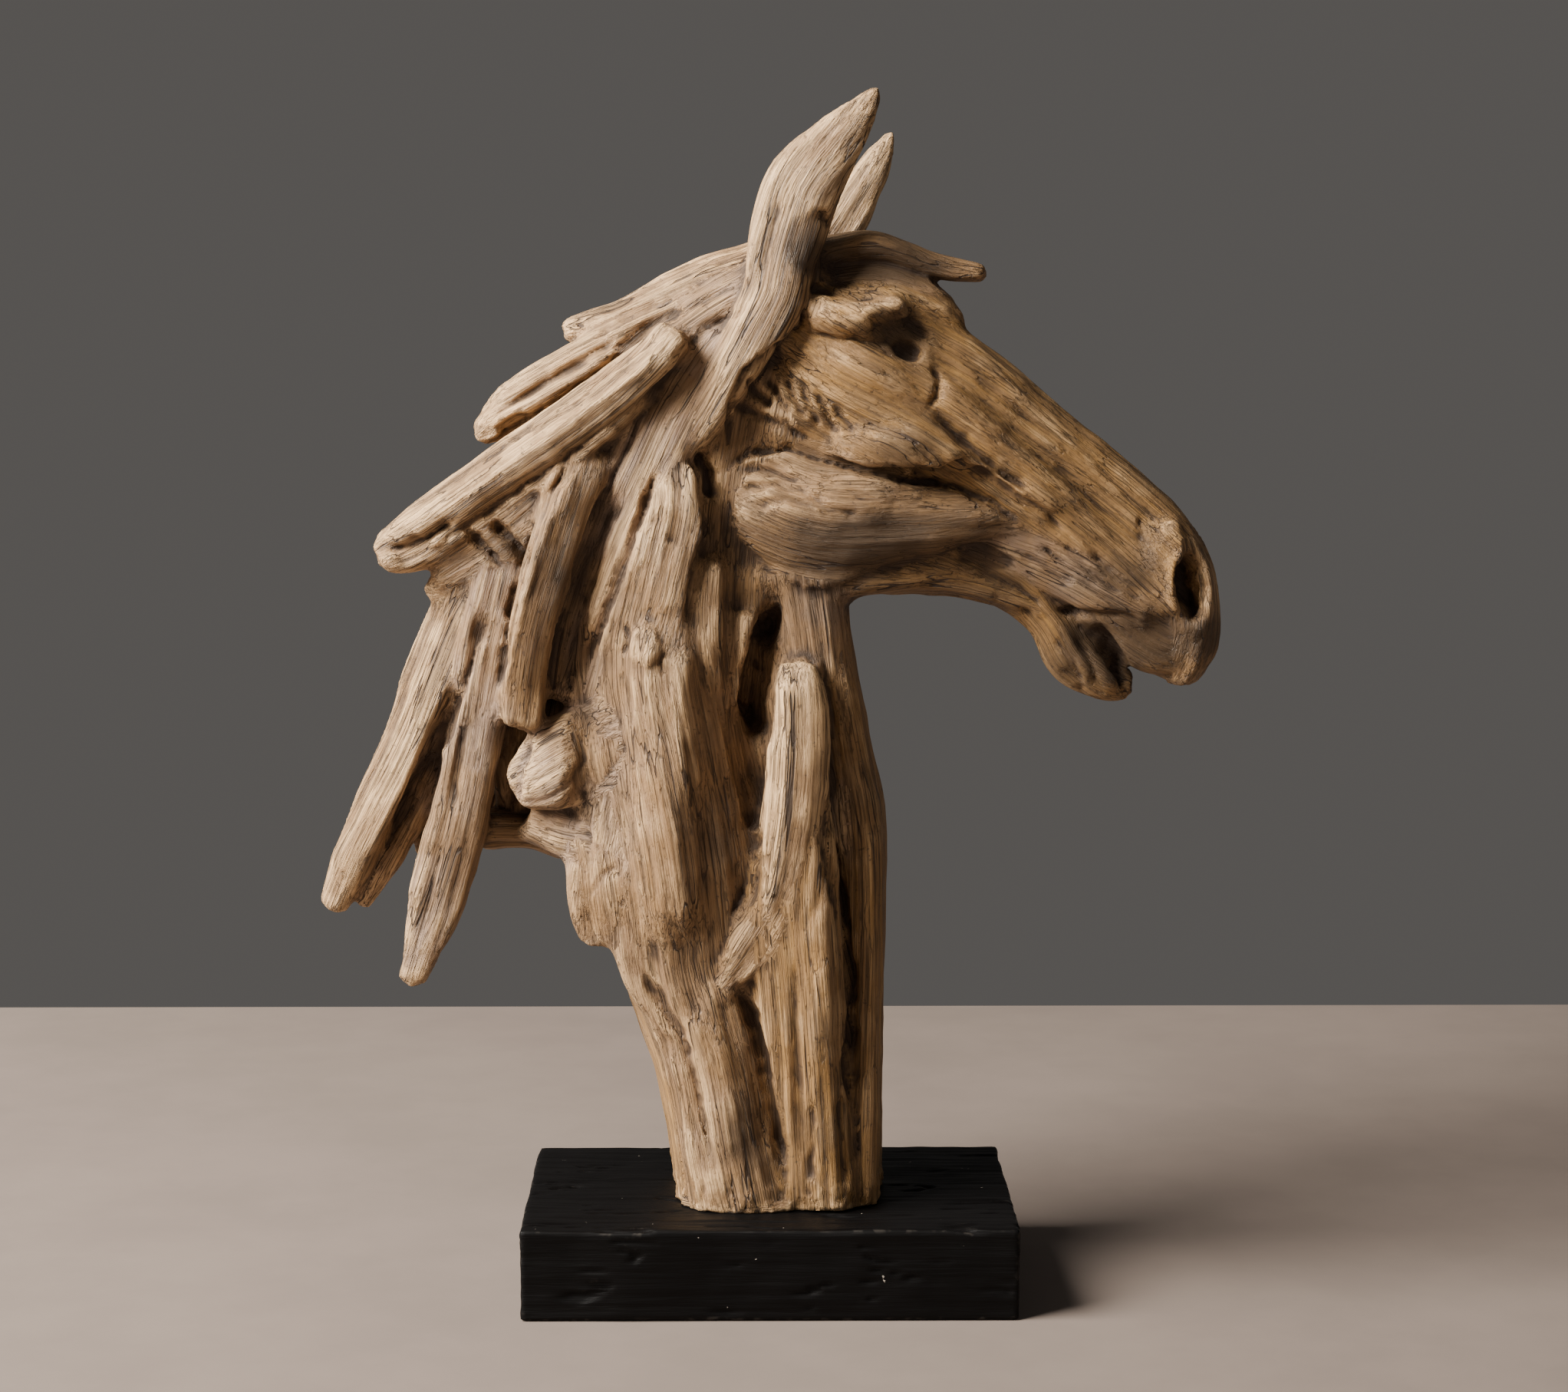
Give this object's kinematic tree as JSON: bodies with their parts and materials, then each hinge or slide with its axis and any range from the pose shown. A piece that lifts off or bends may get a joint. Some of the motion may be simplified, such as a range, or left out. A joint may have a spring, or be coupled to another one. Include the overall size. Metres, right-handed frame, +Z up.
{
  "type": "driftwood horse head sculpture",
  "caption": "Tabletop sculpture of a horse's head and neck in weathered driftwood sticks with a windblown mane, standing on a low black rectangular block.",
  "frame": {"origin": "middle of the block's underside, on the surface it stands on", "axes": "+Z up, +X the way the horse looks, -Y towards the viewer's side"},
  "size_m": [0.3987, 0.14, 0.5307],
  "materials": {
    "driftwood": "weathered, matt, with dark cracks and faint gold wax on the ridges",
    "black_block": "satin black paint over grained wood, edges a little worn"
  },
  "bodies": {
    "root": {"horse_head": "driftwood", "base_block": "black_block"}
  },
  "joints": []
}
